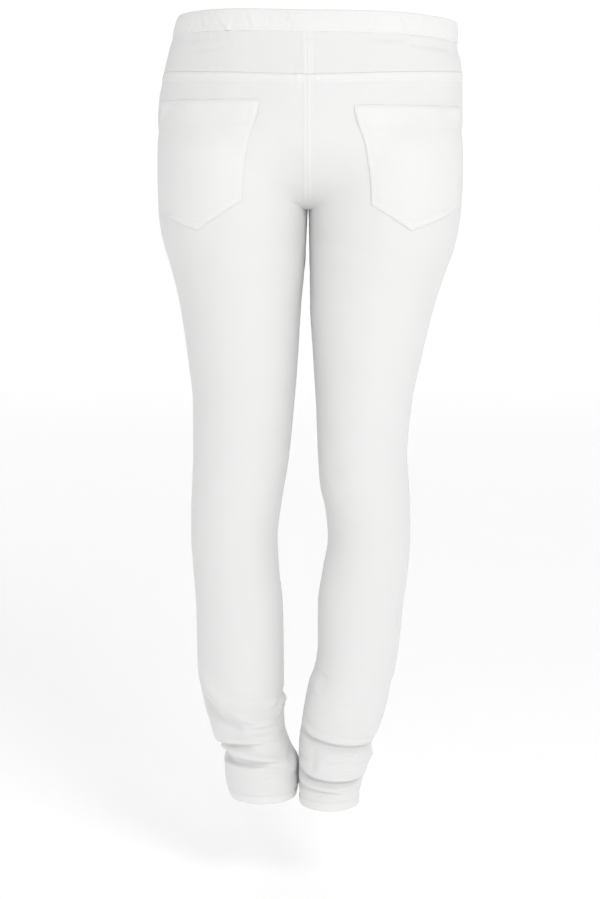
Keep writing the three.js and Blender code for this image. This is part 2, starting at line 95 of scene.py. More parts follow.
# The same sizes as the part's source.
BAND_SEAM, YOKE_SEAM = -17.0, -64.0
CROTCH_Y, CROTCH_Z = 7.0, -216.0
JUST_ABOVE = CROTCH_Z + 0.01  # the last line that still reaches the middle plane
HEM_Z = {"left": -905.0, "right": -909.0}
WAIST_DROP = {"left": 2.0, "right": 9.0, "front": 18.0}
YOKE_LIFT = 6.5
SIDE_SEAM = 101.0
SEAT_TOP, SEAT_ROUNDNESS = -104.0, 2.3
SEAM_GAP = 0.04

HIPS = Table(
    "left right front back",
    [
        (14, 149, 171, 99, 103),
        (-13, 155, 171.5, 101, 107),
        (-31, 160.5, 172.5, 102, 111),
        (-45, 164, 176.5, 103, 114),
        (-69, 169, 178.5, 104, 119),
        (-92, 173, 178.7, 105, 121),
        (-125, 174.5, 179.5, 105, 122),
        (-170, 174.6, 179.5, 102, 118),
        (-216, 174, 178, 96, 110),
    ],
)
SEAT_BLEND = Table("reach", [(-100, 26), (-180, 24), (-205, 14), (-216, 1)])
LEGS = {
    "left": Table(
        "inner outer front back",
        [
            (14, 30, 138, -80, 84),
            (-60, 14, 158, -90, 94),
            (-100, 6, 170, -95, 100),
            (-150, 3, 174.6, -97, 114),
            (-180, 1.5, 174.6, -95, 113),
            (-216, 0.5, 174, -92, 105),
            (-234, 1.3, 172.5, -90, 100),
            (-257, 2.4, 167.6, -88, 95),
            (-281, 4, 160.5, -86, 89),
            (-328, 8.3, 149.9, -82, 78),
            (-387, 11.8, 141.6, -78, 70),
            (-446, 16.5, 135.7, -73, 64),
            (-505, 22.4, 135.7, -67, 59),
            (-564, 31.9, 138.1, -59, 57),
            (-599, 36, 138.1, -55, 58),
            (-635, 34.2, 135.7, -51, 62),
            (-680, 29.5, 132.2, -46, 67),
            (-761, 28.3, 129.8, -36, 68),
            (-795, 28.3, 122.7, -31, 67),
            (-819, 27.5, 115.6, -28, 67),
            (-841, 21.2, 107.4, -25, 68),
            (-864, 10.4, 99.1, -22, 69),
            (-887, 10.4, 96.8, -20, 69),
            (-910, 16, 90, -18, 68),
        ],
    ),
    "right": Table(
        "inner outer front back",
        [
            (14, 30, 160, -80, 84),
            (-60, 14, 168, -90, 94),
            (-100, 6, 174, -95, 100),
            (-150, 3, 179.5, -97, 114),
            (-180, 1.5, 179.5, -95, 113),
            (-216, 0.5, 178, -91, 106),
            (-234, 1, 175.8, -89, 101),
            (-257, 1.2, 171.1, -87, 96),
            (-281, 2, 162.8, -84, 91),
            (-328, 2.4, 147.5, -79, 81),
            (-387, 5.9, 133.3, -74, 74),
            (-446, 9.4, 121.5, -68, 69),
            (-505, 11.8, 116.8, -61, 65),
            (-540, 14.5, 119.2, -56, 65),
            (-564, 20.1, 120.4, -52, 65),
            (-599, 23.6, 120.4, -47, 67),
            (-635, 17.7, 118, -42, 71),
            (-677, 11.8, 112.1, -36, 77),
            (-723, 11.8, 107.4, -29, 80),
            (-758, 6.5, 101.5, -24, 80),
            (-770, 1, 97.5, -22, 80),
            (-792, -3.5, 93.2, -18, 80),
            (-815, -7.1, 86.1, -14, 81),
            (-837, -10, 76, -11, 82),
            (-860, -10.6, 72, -8, 83),
            (-882, -10.6, 64.5, -6, 83),
            (-906, -9, 60, -4, 83),
        ],
    ),
}

# Folds of the spare length at the ankles: from and to in degrees round the leg from its back towards
# its outer side, three heights, the rise (below nought a trough) and the reach up and down the leg.
FOLDS = {
    "left": [
        (-75, 86, -808, -801, -724, 3.8, 9),
        (-15, 100, -824, -806, -752, -4.2, 10),
        (-55, 40, -786, -786, -776, -2, 8),
        (-115, -55, -793, -791, -796, 3.4, 5),
        (-110, -50, -783, -781, -786, -2.4, 4),
        (-55, 5, -814, -818, -820, -2.2, 4),
        (-85, 95, -828, -829, -827, 3.2, 6),
        (-12, 125, -838, -838, -845, -4.4, 4.5),
        (-48, 32, -858, -850, -841, 2.6, 4.5),
        (-50, 105, -862, -855, -858, -4, 4.5),
        (-95, -45, -841, -848, -857, -2, 4.5),
        (-60, -15, -871, -866, -863, -1.6, 4),
        (-30, 60, -876, -879, -876, -1.4, 6),
        (110, 250, -792, -814, -798, -2.6, 9),
        (120, 265, -834, -848, -838, 3, 8),
        (105, 240, -858, -868, -853, -3.2, 6),
    ],
    "right": [
        (-100, -40, -762, -762, -771, 2.6, 9),
        (-100, 105, -813, -833, -836, -4.6, 5),
        (-70, 100, -802, -820, -823, 2.6, 6),
        (-50, 115, -846, -850, -853, 3.2, 8),
        (-22, 60, -860, -851, -840, -1.6, 4),
        (-100, 100, -858, -876, -871, -4.6, 4.5),
        (-85, 80, -879, -884, -880, 2.2, 4),
        (-100, 20, -881, -883, -889, -2.4, 3.5),
        (105, 255, -794, -810, -792, -2.4, 9),
        (110, 260, -832, -848, -838, -3, 7),
        (115, 250, -852, -870, -856, 3, 8),
    ],
}

# Softer and finer creases that only the cloth has, in the same terms.
CREASES = {
    "left": [
        (-5, 84, -803, -790, -744, 2.2, 7),
        (-10, 98, -822, -803, -770, -3.4, 12),
        (-15, 112, -858, -859, -852, -2.6, 3.2),
        (36, 130, -846, -851, -852, -4.4, 6),
        (-35, 60, -853, -850.5, -838, 2.4, 3.2),
        (-85, -35, -778, -786, -795, 1.2, 5),
        (-90, -45, -803, -808, -815, -1.6, 3),
        (-92, -50, -797, -800, -806, 1.2, 3),
        (-75, 10, -868, -870, -872, 1, 4),
        (-100, -50, -864, -872, -880, -1.2, 3),
        (-20, 70, -886, -884, -880, -0.8, 6),
        (-60, 40, -520, -532, -526, -0.9, 10),
        (-40, 70, -548, -556, -545, -0.8, 9),
        (-70, 10, -575, -583, -590, -0.6, 8),
        (-85, 15, -236, -256, -268, -1.3, 11),
        (-80, 40, -268, -292, -300, -0.7, 12),
        (120, 245, -560, -572, -556, -1.2, 12),
        (130, 250, -592, -606, -590, 0.9, 10),
        (150, 262, -250, -262, -232, -1.4, 12),
        (165, 268, -222, -214, -176, -1.5, 10),
        (170, 262, -286, -300, -262, -0.9, 12),
        (115, 200, -770, -778, -764, -1.2, 7),
        (180, 262, -884, -878, -888, -1.2, 5),
    ],
    "right": [
        (-70, 25, -772, -778, -790, 1, 5),
        (-95, -30, -746, -752, -762, -1.1, 5),
        (10, 90, -738, -722, -712, -0.8, 7),
        (-30, 60, -858, -861, -866, 1.1, 4),
        (-90, -30, -848, -852, -858, -1.3, 4),
        (-10, 90, -892, -890, -886, -0.9, 5),
        (-60, 50, -512, -524, -518, -0.9, 10),
        (-50, 65, -545, -552, -540, -0.8, 9),
        (-75, 5, -570, -578, -588, -0.6, 8),
        (-88, 10, -234, -252, -270, -1.3, 11),
        (-82, 35, -266, -290, -304, -0.7, 12),
        (118, 248, -548, -562, -552, -1.2, 12),
        (126, 255, -584, -596, -580, 0.9, 10),
        (152, 264, -248, -258, -230, -1.4, 12),
        (168, 268, -220, -210, -172, -1.5, 10),
        (165, 260, -282, -298, -264, -0.9, 12),
        (120, 210, -762, -772, -760, -1.2, 7),
        (175, 258, -880, -872, -884, -1.2, 5),
    ],
}

# Where an upper fold hangs over a lower one, in the same terms: the cloth steps in under each line.
ROLLS = {
    "left": [
        (-30, 112, -835, -836, -842, 2.6, 5),
        (-18, 112, -860, -861, -854, -2.4, 5),
        (-80, 25, -788, -795, -803, 0.9, 5),
        (-78, 15, -803, -808, -811, 0.9, 4),
        (-85, -5, -822, -826, -828, 0.9, 4),
        (-95, -50, -790, -792, -795, 0.9, 2.2),
        (-97, -55, -796, -799, -801, 0.8, 2),
        (-45, 10, -868, -866, -862, 0.7, 4),
    ],
    "right": [
        (-98, 100, -811, -831, -833.5, 2.4, 5),
        (-98, 98, -857, -874, -869, 2.4, 5),
        (-96, 30, -882, -884, -892, 2.2, 4),
        (10, 104, -859, -853, -849, 1.1, 4),
        (-85, -45, -888, -886, -889, 0.6, 3),
    ],
}

# The back pockets: edges as angles round the leg, the top, and the foot's inner corner, point and outer
# corner, with the point a share of the way across.
POCKET_EDGES = {
    "left": Table("inner outer", [(-92, -17, 66), (-150, -11, 69), (-206, -8.5, 72)]),
    "right": Table("inner outer", [(-98, -18.5, 68), (-150, -13.5, 67), (-206, -10.5, 66)]),
}
POCKET_TOP = {"left": -92.0, "right": -98.0}
POCKET_FOOT = {"left": (-204.0, -238.0, -213.0, 0.41), "right": (-209.0, -238.0, -213.0, 0.38)}
POCKET_HEM = 28.0
POCKET_STAND = 1.45  # its face off the leg
FELL_YOKE, FELL_LEG, FELL_MIDDLE = 9.0, 4.2, 5.4  # under the yoke seam, and each side of centre back
HEM_BAND = 10.2
HEM_TURN = ((0, -0.4), (0.6, -1.9), (3, -2.1), (6, -2.1), (9, -2.1))  # height and rise of its inner rows
TUCK = 0.9  # how far the cloth under the casing's lower edge lies back
BAND_WALL = 0.0006

# Rows of topstitching: how far each lies from the seam or edge that it holds down.
YOKE_STITCHES = (1.7, 7.6)
LEG_STITCH, MIDDLE_STITCH = 3.2, 4.2
POCKET_STITCHES, POCKET_HEM_STITCH = (1.9, 8.2), 1.8
HEM_STITCH = 8.0
BAND_STITCH = -14.2  # its height at centre back

# Soft wrinkles across the yoke: from and to as distances from centre back, height, slope and depth.
YOKE_WRINKLES = {
    "left": ((88, 150, -33, -0.05, 0.6), (120, 190, -24, 0.04, 0.7)),
    "right": ((68, 114, -24, -0.02, 1.2), (112, 186, -28, -0.06, 1.4)),
}

# Diagonal creases in the casing at the back: distance from its middle, lean and depth.
GATHERS = {
    "left": (
        (21, 0.57, 1.3),
        (43, 0.2, 0.4),
        (67, 0.33, 1.4),
        (84, -0.3, 0.4),
        (103, 0.64, 1.4),
        (128, 0.4, 0.7),
    ),
    "right": ((34, -0.4, 0.6), (58, 0.3, 0.4), (76, 0.6, 0.5), (112, -0.5, 0.8), (138, 0.6, 0.6)),
}

# How finely the form and the panels are laid out.
RAYS = 220
MARCH, FAR = 5.0, 400.0  # steps outwards in search of the surface
FOLD_ENDS = 3.5  # a fold fades in and out over this part of its run, as one over it
LINES_PER_MM = 4  # of the lines that the pockets are read from
LAST_COLUMNS = np.array([7, 5, 3.6, 2.4, 1.4, 0.8, 0.4, 0.0])


def ease(t):
    t = np.clip(t, 0, 1)
    return t * t * (3 - 2 * t)


def ridge(distance, reach):
    return np.exp(-((distance / reach) ** 2))


def uneven(x, wave, seed):
    """A smooth uneven ripple along x, mostly between -1 and 1, near one wavelength."""
    mix = random.Random(seed)
    total = 0.0
    for _ in range(5):
        total = total + np.sin(x * math.tau / (wave * mix.uniform(0.62, 1.7)) + mix.uniform(0, math.tau))
    return total / 2.6


def leg_section(side, z):
    inner, outer, front, back = (LEGS[side].read(name, z) for name in ("inner", "outer", "front", "back"))
    return SIDE_SIGN[side] * (inner + outer) / 2, (front + back) / 2, (outer - inner) / 2, (back - front) / 2


def leg_field(section, x, y):
    centre_x, centre_y, width, depth = section
    return (np.hypot((x - centre_x) / width, (y - centre_y) / depth) - 1) * np.minimum(width, depth)


def halved(inside, outside, within, steps):
    """Closes in on where the surface lies between two places, by halving."""
    for _ in range(steps):
        middle = (inside + outside) / 2
        held = within(middle)
        inside, outside = np.where(held, middle, inside), np.where(held, outside, middle)
    return inside


def lengths_along(points, axis):
    """Length of the way to each point of a grid from the first in its row or column."""
    steps = np.linalg.norm(np.diff(points, axis=axis), axis=-1)
    return np.insert(np.cumsum(steps, axis=axis), 0, 0, axis=axis)


def blend(a, b, reach):
    overlap = np.maximum(0, reach - np.abs(a - b))
    return np.minimum(a, b) - overlap * overlap / (4 * reach)


class Sections:
    """The form's sections at an array of heights: two legs and the hips, joined at the middle."""

    def __init__(self, side, z):
        self.z = z
        self.own = leg_section(side, z)
        self.other = leg_section(OTHER_SIDE[side], z)
        self.hips = [HIPS.read(name, z) for name in ("left", "right", "front", "back")]
        sink = np.clip((SEAT_TOP - z) / (SEAT_TOP - CROTCH_Z), 0, 1)
        self.share = (1 - sink**SEAT_ROUNDNESS) ** (1 / SEAT_ROUNDNESS)
        self.reach = SEAT_BLEND.read("reach", z)

    def field(self, x, y):
        own = leg_field(self.own, x, y)
        left, right, front, back = self.hips
        width = np.where(x > 0, left, right)
        depth = np.where(y > CROTCH_Y, back - CROTCH_Y, front + CROTCH_Y)
        hip = (np.hypot(x / width, (y - CROTCH_Y) / depth) - self.share) * front
        reach = self.reach * ease(1.5 - np.abs(x) / 90) + 0.01
        joined = blend(blend(own, leg_field(self.other, x, y), reach), hip, reach)
        return np.where(self.z <= CROTCH_Z, own, joined)

    def edge_angles(self):
        """Angles round the leg of its back and front edge: on the middle plane, or at the inseam."""
        found = []
        for direction in (1, -1):
            start = np.full_like(self.z, CROTCH_Y)
            y = halved(start, start + 200.0 * direction, lambda y: self.field(0 * y, y) < 0, 34)
            found.append(np.arctan2(np.abs(self.own[0]), y - self.own[1]))
        below = self.z <= CROTCH_Z
        return np.where(below, -math.pi / 2, -found[0]), np.where(below, 1.5 * math.pi, math.tau - found[1])

    def reach_along(self, dx, dy):
        """Distance from the leg's axis out to the surface, or to the middle plane, in each direction."""
        x0, y0 = self.own[0], self.own[1]
        inward = np.maximum(-dx * np.sign(x0), 1e-9)
        limit = np.where(self.z > CROTCH_Z, np.minimum(np.abs(x0) / inward, FAR), FAR)
        inside, outside = limit.copy(), limit.copy()
        looking = np.ones(self.z.shape, bool)
        for step in np.arange(MARCH, FAR, MARCH):
            far = np.minimum(step, limit)
            out = looking & (self.field(x0 + dx * far, y0 + dy * far) >= 0)
            inside[out], outside[out] = step - MARCH, far[out]
            looking &= ~out
            if not looking.any():
                break
        return halved(inside, outside, lambda far: self.field(x0 + dx * far, y0 + dy * far) < 0, 22)


def lift(side, t, z):
    """How far a line round the garment lies above its height at centre back, t of the way forward."""
    waist = ease((z - YOKE_SEAM) / (BAND_SEAM - YOKE_SEAM))
    middle = WAIST_DROP["front"] / 2
    drop = middle * (1 - np.cos(math.pi * t)) - (middle - WAIST_DROP[side]) * np.sin(math.pi * t)
    return YOKE_LIFT * ease(1 - np.abs(z - YOKE_SEAM) / 40) * np.sin(math.pi * t) - waist * drop


def leaning(away, height, reach, lean):
    """A ridge or trough, steeper under a ridge and over a trough, as where cloth rolls over a crease."""
    steep = (away > 0) == (height < 0)
    return height * ridge(away, reach * np.where(steep, 1 - lean, 1 + lean))


def stepping(away, height, reach, lean):
    """Fuller over its line and drawn in under it."""
    return height * np.tanh(away / lean) * ridge(away, reach)


def fold_rise(folds, z, degrees, profile, lean):
    """Height of a set of folds over the plain form."""
    rise = np.zeros(np.broadcast(z, degrees).shape)
    for start_at, end_at, start, middle, end, height, reach in folds:
        for turn in (-360, 0, 360):
            t = (degrees + turn - start_at) / (end_at - start_at)
            on = (t > 0) & (t < 1)
            if not on.any():
                continue
            bend = 2 * middle - (start + end) / 2
            line = (1 - t) ** 2 * start + 2 * t * (1 - t) * bend + t * t * end
            fade = ease(np.minimum(t, 1 - t) * FOLD_ENDS)
            rise += np.where(on, fade * profile(z - line, height, reach, lean), 0)
    return rise


class Line:
    """One line round half of the garment."""

    def __init__(self, points, normals, lengths, back, front):
        self.points, self.normals, self.lengths = points, normals, lengths
        self.back, self.front = math.degrees(back), math.degrees(front)
        self.total = lengths[-1]
        self.seam = self.at_angle(SIDE_SEAM)
        self.spine = self.at_angle(0)

    def at_angle(self, degrees):
        place = (degrees - self.back) / (self.front - self.back) * RAYS
        return np.interp(place, np.arange(RAYS + 1), self.lengths)

    def angle_of(self, distances):
        place = np.interp(distances, self.lengths, np.arange(RAYS + 1)) / RAYS
        return self.back + (self.front - self.back) * place

    def read(self, distances):
        points, normals = (
            np.stack([np.interp(distances, self.lengths, values[:, k]) for k in range(3)], axis=-1)
            for values in (self.points, self.normals)
        )
        return points, normals / np.linalg.norm(normals, axis=-1, keepdims=True)


class Form:
    """The surface of one half of the garment, kept as close lines from the waist to below the hem."""

    def __init__(self, side):
        self.side = side
        stretches = [(14, -190, 2.0), (-190, -212, 1.0), (-212, -215.8, 0.25), (-216, -740, 3.0)]
        stretches.append((-740, HEM_Z[side] - 6, 1.2))
        rows = [np.arange(start, stop, -step) for start, stop, step in stretches] + [[JUST_ABOVE]]
        self.z = np.unique(np.concatenate(rows))[::-1].copy()
        t = np.linspace(0, 1, RAYS + 1)
        heights = self.z[:, None] + lift(side, t[None, :], self.z[:, None])
        sections = Sections(side, heights)
        back, front = sections.edge_angles()
        angle = back + (front - back) * t
        dx, dy = SIDE_SIGN[side] * np.sin(angle), np.cos(angle)
        reach = sections.reach_along(dx, dy)
        reach = reach + fold_rise(FOLDS[side], heights, np.degrees(angle), leaning, 0.3)
        self.points = np.stack([sections.own[0] + dx * reach, sections.own[1] + dy * reach, heights], -1)
        self.back, self.front = Sections(side, self.z).edge_angles()
        self.lengths = lengths_along(self.points, 1)
        self.normals = self._normals()

    def _normals(self):
        points = self.points
        mirror = np.array([-1.0, 1, 1])
        open_rows = (self.z > CROTCH_Z)[:, None]
        before = np.where(open_rows, points[:, 1] * mirror, points[:, -2])
        after = np.where(open_rows, points[:, -2] * mirror, points[:, 1])
        wide = np.concatenate([before[:, None], points, after[:, None]], axis=1)
        across = wide[:, 2:] - wide[:, :-2]
        above = [int(open_rows.sum())]
        parts = zip(np.split(points, above), np.split(self.z, above))
        down = np.concatenate([np.gradient(part, -z, axis=0) for part, z in parts])
        normals = np.cross(across, down) * SIDE_SIGN[self.side]
        return normals / np.linalg.norm(normals, axis=-1, keepdims=True)

    def line(self, z):
        place = float(np.interp(-z, -self.z, np.arange(len(self.z))))
        i = min(int(place), len(self.z) - 2)
        f = place - i
        kept = (self.points, self.normals, self.lengths, self.back, self.front)
        return Line(*(rows[i] * (1 - f) + rows[i + 1] * f for rows in kept))


FORMS = {}


def form(side):
    if side not in FORMS:
        FORMS[side] = Form(side)
    return FORMS[side]


class Number:
    """A number socket of a material that takes part in Python arithmetic."""

    def __init__(self, nodes, socket):
        self.nodes, self.socket = nodes, socket

    def _with(self, operation, *values):
        node = self.nodes.add("ShaderNodeMath", {"operation": operation}, values)
        return Number(self.nodes, node.outputs[0])

    def __add__(self, other):
        return self._with("ADD", self, other)

    __radd__ = __add__

    def __sub__(self, other):
        return self._with("SUBTRACT", self, other)

    def __rsub__(self, other):
        return self._with("SUBTRACT", other, self)

    def __mul__(self, other):
        return self._with("MULTIPLY", self, other)

    __rmul__ = __mul__

    def sine(self):
        return self._with("SINE", self)


class Finish:
    """A material and the nodes that give its surface."""

    def __init__(self, name):
        self.material = bpy.data.materials.new(name)
        self.material.use_nodes = True
        self.tree = self.material.node_tree
        self.shader = self.tree.nodes["Principled BSDF"]

    def add(self, kind, settings=None, sockets=None):
        """Adds a node: its settings first, then the values or links of its sockets."""
        node = self.tree.nodes.new(kind)
        for name, value in (settings or {}).items():
            setattr(node, name, value)
        items = sockets.items() if isinstance(sockets, dict) else enumerate(sockets or ())
        for name, value in items:
            self.join(value, node.inputs[name])
        return node

    def join(self, value, socket):
        if isinstance(value, Number):
            value = value.socket
        if isinstance(value, bpy.types.NodeSocket):
            self.tree.links.new(value, socket)
        else:
            socket.default_value = value

    def settle(self, sockets):
        """Sets or feeds sockets of the surface itself."""
        for name, value in sockets.items():
            self.join(value, self.shader.inputs[name])

    def number(self, socket):
        return Number(self, socket)

    def cloth_place(self):
        """The cloth's own map, and its distances across and along."""
        cloth = self.add("ShaderNodeUVMap", {"uv_map": "cloth"}).outputs["UV"]
        place = self.add("ShaderNodeSeparateXYZ", {}, [cloth])
        return cloth, self.number(place.outputs[0]), self.number(place.outputs[1])

    def noise(self, vector, scale, detail=2.0):
        sockets = {"Vector": vector, "Scale": scale, "Detail": detail}
        return self.number(self.add("ShaderNodeTexNoise", {}, sockets).outputs[0])

    def mix_colours(self, factor, first, second):
        node = self.add("ShaderNodeMix", {"data_type": "RGBA"}, {0: factor})
        self.join(first, node.inputs[6])
        self.join(second, node.inputs[7])
        return node.outputs[2]


def tone(colour, share=1.0):
    return (*(c * share for c in colour[:3]), 1.0)


def twill_finish(colour):
    """White stretch twill: fine diagonal wales, slubs, and a soft brushed sheen."""
    finish = Finish("twill")
    cloth, across, along = finish.cloth_place()
    wander = finish.noise(cloth, 260.0)
    wale = (across * 0.86 + along * 0.5) * (math.tau / 0.00095) + wander * 1.6
    weft = along * (math.tau / 0.0006)
    weave = wale.sine() * 0.5 + weft.sine() * 0.18
    stretched = finish.add("ShaderNodeMapping", {}, {"Vector": cloth, "Scale": (900.0, 160.0, 1.0)})
    slub = finish.noise(stretched.outputs[0], 1.0, 1.0)
    cloud = finish.noise(cloth, 14.0, 3.0)
    plies = finish.number(finish.add("ShaderNodeAttribute", {"attribute_name": "plies"}).outputs["Fac"])
    shade = cloud * 0.3 + slub * 0.2 + (1.0 - plies) * 0.6
    height = weave * 0.000035 + slub * 0.00005
    bump = finish.add("ShaderNodeBump", {}, {"Strength": 0.55, "Distance": 1.0, "Height": height})
    surface = {
        "Base Color": finish.mix_colours(shade, tone(colour), tone(colour, 0.93)),
        "Roughness": slub * 0.12 + 0.78,
        "Normal": bump.outputs[0],
        "Sheen Weight": 0.18,
        "Sheen Roughness": 0.45,
        "Specular IOR Level": 0.25,
    }
    finish.settle(surface)
    return finish.material


def thread_finish(colour):
    """Polyester sewing thread, twisted, a little brighter and smoother than the cloth, with painted shade in
    the grooves of its twist.
    """
    finish = Finish("thread")
    _, across, along = finish.cloth_place()
    twist = (across * math.tau + along * 34.0).sine() * 0.5 + 0.5
    # Painted shade: the colour darkens to nine tenths along the grooves of the twist.
    twist_shaded_colours = finish.mix_colours(twist, tone(colour, 0.9), tone(colour))
    finish.settle({"Base Color": twist_shaded_colours, "Roughness": 0.55 - twist * 0.1, "Specular IOR Level": 0.35})
    return finish.material


FINISHES = {}


def finish_for(name, sizes):
    if name not in FINISHES:
        maker = {"twill": twill_finish, "thread": thread_finish}[name]
        FINISHES[name] = maker(getattr(sizes, name + "_colour"))
    return FINISHES[name]


def placed(name, shape):
    """Turns a bmesh into a smooth object at the origin of the scene."""
    for face in shape.faces:
        face.smooth = True
    mesh = bpy.data.meshes.new(name)
    shape.to_mesh(mesh)
    shape.free()
    piece = bpy.data.objects.new(name, mesh)
    bpy.context.scene.collection.objects.link(piece)
    return piece


def sheet_mesh(name, points, cloth_uv, plies, flip):
    """A bmesh grid with its points moved to rows and columns on the form, mapped as cloth."""
    rows, columns = points.shape[:2]
    shape = bmesh.new()
    bmesh.ops.create_grid(shape, x_segments=columns - 1, y_segments=rows - 1, size=0.5)
    for vert, place in zip(shape.verts, points.reshape(-1, 3) * MM):
        vert.co = place
    if flip:
        bmesh.ops.reverse_faces(shape, faces=shape.faces)
    piece = placed(name, shape)
    mesh = piece.data
    corner = np.empty(len(mesh.loops), int)
    mesh.loops.foreach_get("vertex_index", corner)
    layer = mesh.uv_layers.new(name="cloth")
    layer.data.foreach_set("uv", (cloth_uv.reshape(-1, 2)[corner] * MM).ravel())
    layers = mesh.attributes.new("plies", "FLOAT", "POINT")
    layers.data.foreach_set("value", plies.ravel().astype(np.float32))
    return piece


def flat_size(points):
    """Width, length and area of the cloth in a grid of points, in metres."""
    points = points * MM
    widths, lengths = lengths_along(points, 1)[:, -1], lengths_along(points, 0)[-1]
    down = points[1:, :-1] - points[:-1, :-1]
    across = points[:-1, 1:] - points[:-1, :-1]
    area = np.linalg.norm(np.cross(across, down), axis=-1).sum()
    return widths.max(), lengths.max(), area


class Panel:
    """A cut piece of cloth: heights of its rows, and the distance of every column along each row."""

    def __init__(self, side, heights, columns):
        self.side = side
        surface = form(side)
        points, normals, distances, angles, spines = [], [], [], [], []
        for z in heights:
            line = surface.line(z)
            row = columns(line)
            place, normal = line.read(row)
            if z > CROTCH_Z:
                place[:, 0] = SIDE_SIGN[side] * np.maximum(SEAM_GAP / 2, np.abs(place[:, 0]))
            points.append(place)
            normals.append(normal)
            distances.append(row)
            angles.append(line.angle_of(row))
            spines.append(line.spine)
        self.z = np.array(heights)[:, None]
        self.points, self.normals = np.array(points), np.array(normals)
        self.distance, self.angle = np.array(distances), np.array(angles)
        self.around = self.distance - np.array(spines)[:, None]  # from the leg's own back, unlike distance

    def to_first(self):
        return self.distance - self.distance[:, :1]

    def to_last(self):
        return self.distance[:, -1:] - self.distance

    def piece(self, name, rise, plies, sizes, turn=()):
        """Makes the object, with the rows of turn folded back inside at its foot."""
        points = self.points + self.normals * rise[..., None]
        cloth_uv = np.stack([self.around, np.broadcast_to(self.z, self.around.shape)], -1)
        for up, stand in turn:
            row = int(np.argmin(np.abs(self.z[:, 0] - (self.z[-1, 0] + up))))
            inner = self.points[row] + self.normals[row] * stand
            if up == 0:
                inner[:, 2] -= 0.5
            points = np.concatenate([points, inner[None]])
            folded = cloth_uv[len(self.z) - 1].copy()
            folded[:, 1] -= up + 1
            cloth_uv = np.concatenate([cloth_uv, folded[None]])
            plies = np.concatenate([plies, plies[-1:]])
        name = name + "_" + self.side + "_cloth"
        made = sheet_mesh(name, points, cloth_uv, plies, SIDE_SIGN[self.side] < 0)
        finish_cloth(made, points, sizes)


def finish_cloth(piece, points, sizes, thickness=None):
    """Gives a sheet its thickness inwards and its cloth, hangs it from the root, and hides the part that it
    stands for.
    """
    wall = piece.modifiers.new("cloth", "SOLIDIFY")
    wall.thickness = sizes.cloth if thickness is None else thickness
    wall.offset = -1
    piece.data.materials.append(finish_for("twill", sizes))
    width, length, area = flat_size(points)
    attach(piece, "root")
    area = min(area, width * length)
    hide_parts(piece.name.removesuffix("_cloth"))


def spread(*stretches):
    """Heights or distances over stretches of (start, end, number of steps), without doubles."""
    parts = [np.linspace(a, b, n + 1)[(k > 0) :] for k, (a, b, n) in enumerate(stretches)]
    return np.concatenate(parts)


def rolled(distance, depth=0.14, width=0.6):
    """The edge of a ply rolls in at its seam."""
    return -depth * np.exp(-((np.maximum(distance, 0) / width) ** 2))


def puckers(along, away, wave, seed, reach, amount):
    """Small uneven puckers that a seam pulls into the cloth beside it."""
    ripple = uneven(along, wave, seed) * (0.55 + 0.45 * uneven(along, wave * 6, seed + 1))
    return amount * ripple * np.exp(-np.maximum(away, 0) / reach)


def stitch_groove(distance):
    return -0.13 * ridge(distance, 0.8)


def soft_life(panel, seed):
    """Very soft unevenness of worn cloth, from hand to hand wide."""
    low = uneven(panel.z + panel.around * 0.3, 62, seed)
    return 0.35 * low * uneven(panel.around - panel.z * 0.2, 74, seed + 1)


def leg_heights(top, side, first=()):
    """Rows of a leg, closest at the crotch, the ankle's folds and the hem."""
    hem = HEM_Z[side]
    rows = spread(
        (top, -196, int((top + 196) / 2.6)),
        (-196, -210, 12),
        (-210, -215.2, 11),
        (-215.2, CROTCH_Z, 1),
        (CROTCH_Z, -240, 12),
        (-240, -640, 90),
        (-640, -742, 36),
        (-742, hem + 12, 158),
        (hem + 12, hem, 16),
    )
    return np.concatenate([first, rows])


def hem_rise(panel, side, seed):
    """The turned hem: a raised band, its stitching line, and light roping between the stitches."""
    above = panel.z - HEM_Z[side]
    band = 0.75 * ease((HEM_BAND - above) / 1.4)
    roping = 0.3 * uneven(panel.around + above * 0.9, 9, seed) * ease(1 - above / 14)
    return band + roping + stitch_groove(above - HEM_STITCH) * 1.3 - 0.45 * np.exp(-((above / 1.1) ** 2))


def hand_folds(panel, side):
    """The softer creases, the rolled folds, and one upright dent in the right ankle."""
    height = panel.points[..., 2]
    rise = fold_rise(CREASES[side], height, panel.angle, leaning, 0.25)
    rise = rise + fold_rise(ROLLS[side], height, panel.angle, stepping, 0.8)
    if side == "right":
        rise = rise - 1.3 * ridge(panel.angle + 34, 6) * ease((height + 868) / 8) * ease((-834 - height) / 6)
    return rise


def doubled(*inside):
    """Where the cloth lies double: distances inside each turning, softened at its edge."""
    return np.clip(sum(ease(distance / 1.6 + 0.5) for distance in inside), 0, 1)


def columns_between(line, first, last, *anchors):
    """Columns from first to last, led through angles round the leg with a number of columns up to each.

    On the seat, whose lines start later, the first angles are passed over.
    """
    parts, start = [first], first[-1]
    for degrees, count in anchors:
        stop = max(line.at_angle(degrees), start + 12)
        parts.append(np.linspace(start, stop, count + 1)[1:])
        start = stop
    return np.concatenate([*parts, np.linspace(start, last[0], 14)[1:-1], last])


